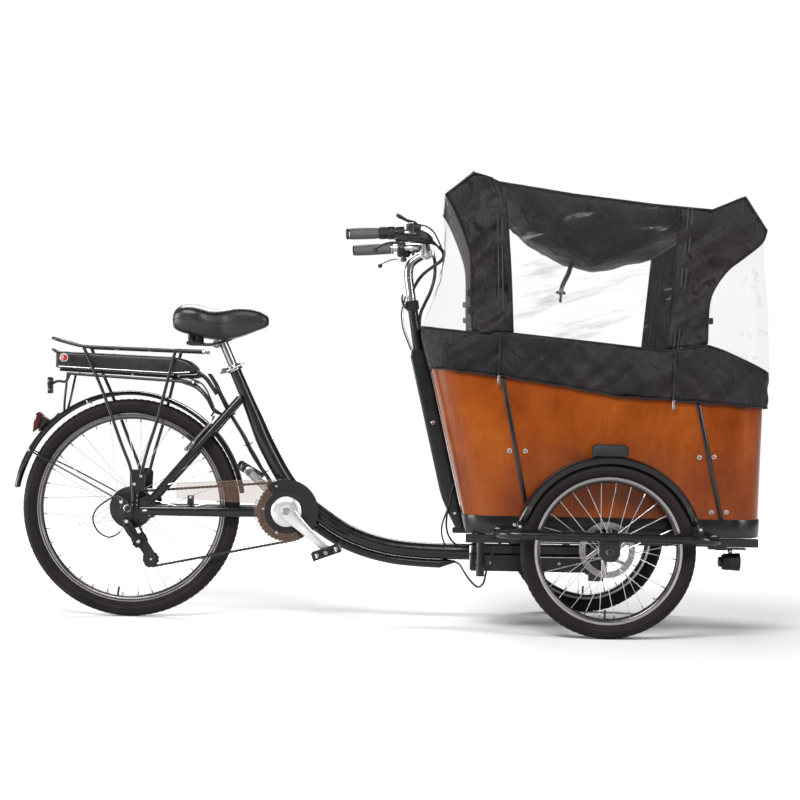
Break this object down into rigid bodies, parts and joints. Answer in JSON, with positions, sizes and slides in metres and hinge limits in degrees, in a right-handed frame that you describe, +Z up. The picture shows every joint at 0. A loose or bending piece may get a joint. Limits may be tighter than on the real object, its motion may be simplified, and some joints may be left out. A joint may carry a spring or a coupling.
{
  "type": "cargo bicycle",
  "caption": "Electric cargo trike with a plywood passenger box under a windowed rain cover between the front wheels, and a rack battery over the driven rear wheel.",
  "frame": {"origin": "centre of the footprint, on the ground", "axes": "+X forwards (direction of travel), +Y to the rider's left, +Z up"},
  "size_m": [2.2456, 0.8832, 1.352],
  "materials": {
    "black_paint": "satin black paint",
    "silver_metal": "satin silver",
    "chrome": "bright polished",
    "steel": "bare steel, lightly oiled",
    "tyre_rubber": "matt black rubber",
    "black_plastic": "moulded black plastic",
    "grip_rubber": "soft dark grey rubber",
    "smoky_plastic": "tinted see-through plastic",
    "red_plastic": "red lens plastic",
    "leatherette": "dark soft cover",
    "plywood": "glossy varnished plywood",
    "cover_fabric": "coated woven fabric with clear windows"
  },
  "bodies": {
    "rear_frame": {"main_tube": "black_paint", "lower_tube": "black_paint", "rear_triangle": "black_paint", "steering_head": "black_paint", "rear_fender": "black_paint", "luggage_rack": "black_paint", "battery_rail": "black_plastic", "tail_light": "red_plastic", "seat_clamp": "silver_metal", "rear_cables": "black_plastic", "rear_axle": "steel", "chain": "steel", "chain_guard": "smoky_plastic", "derailleur_body": "steel"},
    "battery": {"battery": "black_plastic"},
    "battery_lock": {"battery_lock": "red_plastic"},
    "seat_clamp_lever": {"seat_clamp_lever": "silver_metal"},
    "seat": {"seat_post": "chrome", "saddle": "leatherette"},
    "rear_wheel": {"rear_tyre": "tyre_rubber", "rear_wheel": "silver_metal"},
    "freewheel": {"freewheel": "steel"},
    "crankset": {"crank_right": "silver_metal", "crank_left": "silver_metal", "chainring": "steel", "chainring_disc": "black_plastic"},
    "pedal_right": {"pedal_right": "black_plastic"},
    "pedal_left": {"pedal_left": "black_plastic"},
    "derailleur_cage": {"derailleur_cage": "steel"},
    "upper_pulley": {"upper_pulley": "black_plastic"},
    "lower_pulley": {"lower_pulley": "black_plastic"},
    "brake_arm_right": {"brake_arm_right": "black_paint"},
    "brake_arm_left": {"brake_arm_left": "black_paint"},
    "front_module": {"front_subframe": "black_paint", "side_bar_right": "black_paint", "side_bar_left": "black_paint", "front_fender_right": "black_paint", "front_fender_left": "black_paint", "box_rear_panel": "plywood", "box_side_panel_right": "plywood", "box_side_panel_left": "plywood", "box_front_panel": "plywood", "box_tray": "black_plastic", "bench": "plywood", "steering_column": "black_paint", "canopy": "cover_fabric"},
    "column_clamp_lever": {"column_clamp_lever": "steel"},
    "handlebar": {"stem": "chrome", "handlebar": "chrome", "grip_right": "grip_rubber", "grip_left": "grip_rubber"},
    "throttle": {"throttle_grip": "grip_rubber"},
    "brake_lever_right": {"brake_lever_right": "silver_metal"},
    "brake_lever_left": {"brake_lever_left": "silver_metal"},
    "thumb_shifter": {"thumb_shifter": "black_plastic"},
    "front_wheel_right": {"front_tyre_right": "tyre_rubber", "front_wheel_right": "silver_metal"},
    "front_wheel_left": {"front_tyre_left": "tyre_rubber", "front_wheel_left": "silver_metal"},
    "headlight": {"headlight": "black_plastic"}
  },
  "joints": [
    {"name": "steering", "type": "hinge", "parent": "rear_frame", "child": "front_module", "pos_m": [0.64782, 0, 0.25], "axis": [0, 0, 1], "range_deg": [-22, 22]},
    {"name": "rear_wheel_spin", "type": "hinge", "parent": "rear_frame", "child": "rear_wheel", "pos_m": [-0.76518, 0, 0.33], "axis": [0, 1, 0], "continuous": true},
    {"name": "freewheel_spin", "type": "hinge", "parent": "rear_frame", "child": "freewheel", "pos_m": [-0.76518, -0.045, 0.33], "axis": [0, 1, 0], "continuous": true},
    {"name": "crank_spin", "type": "hinge", "parent": "rear_frame", "child": "crankset", "pos_m": [-0.29018, 0, 0.328], "axis": [0, 1, 0], "continuous": true},
    {"name": "pedal_right_spin", "type": "hinge", "parent": "crankset", "child": "pedal_right", "pos_m": [-0.16384, 0, 0.21425], "axis": [0, 1, 0], "continuous": true},
    {"name": "pedal_left_spin", "type": "hinge", "parent": "crankset", "child": "pedal_left", "pos_m": [-0.41651, 0, 0.44175], "axis": [0, 1, 0], "continuous": true},
    {"name": "derailleur_swing", "type": "hinge", "parent": "rear_frame", "child": "derailleur_cage", "pos_m": [-0.73418, -0.038, 0.232], "axis": [0, 1, 0], "range_deg": [-12, 0], "stiffness_Nm_per_rad": 1.5, "springref_deg": 5.73},
    {"name": "upper_pulley_spin", "type": "hinge", "parent": "derailleur_cage", "child": "upper_pulley", "pos_m": [-0.73418, -0.038, 0.232], "axis": [0, 1, 0], "continuous": true},
    {"name": "lower_pulley_spin", "type": "hinge", "parent": "derailleur_cage", "child": "lower_pulley", "pos_m": [-0.69718, -0.038, 0.177], "axis": [0, 1, 0], "continuous": true},
    {"name": "brake_arm_right_swing", "type": "hinge", "parent": "rear_frame", "child": "brake_arm_right", "pos_m": [-0.59618, -0.036, 0.509], "axis": [-0.77, 0, 0.638], "range_deg": [-2.5, 0]},
    {"name": "brake_arm_left_swing", "type": "hinge", "parent": "rear_frame", "child": "brake_arm_left", "pos_m": [-0.59618, 0.036, 0.509], "axis": [-0.77, 0, 0.638], "range_deg": [0, 2.5]},
    {"name": "saddle_height", "type": "slide", "parent": "rear_frame", "child": "seat", "axis": [-0.4067, 0, 0.9135], "range_m": [0, 0.06]},
    {"name": "seat_clamp_lever_swing", "type": "hinge", "parent": "rear_frame", "child": "seat_clamp_lever", "pos_m": [-0.48818, -0.02, 0.75], "axis": [0, 1, 0], "range_deg": [-110, 0]},
    {"name": "battery_slide", "type": "slide", "parent": "rear_frame", "child": "battery", "axis": [-0.9991, 0, 0.0432], "range_m": [0, 0.42]},
    {"name": "battery_key_turn", "type": "hinge", "parent": "battery", "child": "battery_lock", "pos_m": [-0.97018, -0.06, 0.781], "axis": [0, 1, 0], "range_deg": [0, 90]},
    {"name": "front_wheel_right_spin", "type": "hinge", "parent": "front_module", "child": "front_wheel_right", "pos_m": [0.64782, -0.37, 0.25], "axis": [0, 1, 0], "continuous": true},
    {"name": "front_wheel_left_spin", "type": "hinge", "parent": "front_module", "child": "front_wheel_left", "pos_m": [0.64782, 0.37, 0.25], "axis": [0, 1, 0], "continuous": true},
    {"name": "headlight_tilt", "type": "hinge", "parent": "front_module", "child": "headlight", "pos_m": [1.01382, -0.248, 0.247], "axis": [0, 1, 0], "range_deg": [-10, 10]},
    {"name": "handlebar_height", "type": "slide", "parent": "front_module", "child": "handlebar", "axis": [-0.1483, 0, 0.9889], "range_m": [0, 0.05]},
    {"name": "column_clamp_lever_swing", "type": "hinge", "parent": "front_module", "child": "column_clamp_lever", "pos_m": [0.05482, -0.016, 0.956], "axis": [0, 1, 0], "range_deg": [-100, 0]},
    {"name": "throttle_twist", "type": "hinge", "parent": "handlebar", "child": "throttle", "pos_m": [0.01082, -0.268, 1.153], "axis": [0.9899, 0.1298, 0.0568], "range_deg": [0, 60], "stiffness_Nm_per_rad": 0.15},
    {"name": "brake_lever_right_pull", "type": "hinge", "parent": "handlebar", "child": "brake_lever_right", "pos_m": [0.04582, -0.277, 1.119], "axis": [0, 0, -1], "range_deg": [0, 15], "stiffness_Nm_per_rad": 2},
    {"name": "brake_lever_left_pull", "type": "hinge", "parent": "handlebar", "child": "brake_lever_left", "pos_m": [0.04582, 0.277, 1.119], "axis": [0, 0, 1], "range_deg": [0, 15], "stiffness_Nm_per_rad": 2},
    {"name": "thumb_shift", "type": "hinge", "parent": "handlebar", "child": "thumb_shifter", "pos_m": [0.07282, -0.236, 1.188], "axis": [0, 0, 1], "range_deg": [0, 35], "stiffness_Nm_per_rad": 0.5}
  ],
  "couplings": [
    {"joint": "freewheel_spin", "follows": "crank_spin", "ratio": 1.8333},
    {"joint": "brake_arm_right_swing", "follows": "brake_lever_right_pull", "ratio": -0.16},
    {"joint": "brake_arm_left_swing", "follows": "brake_lever_right_pull", "ratio": 0.16}
  ]
}
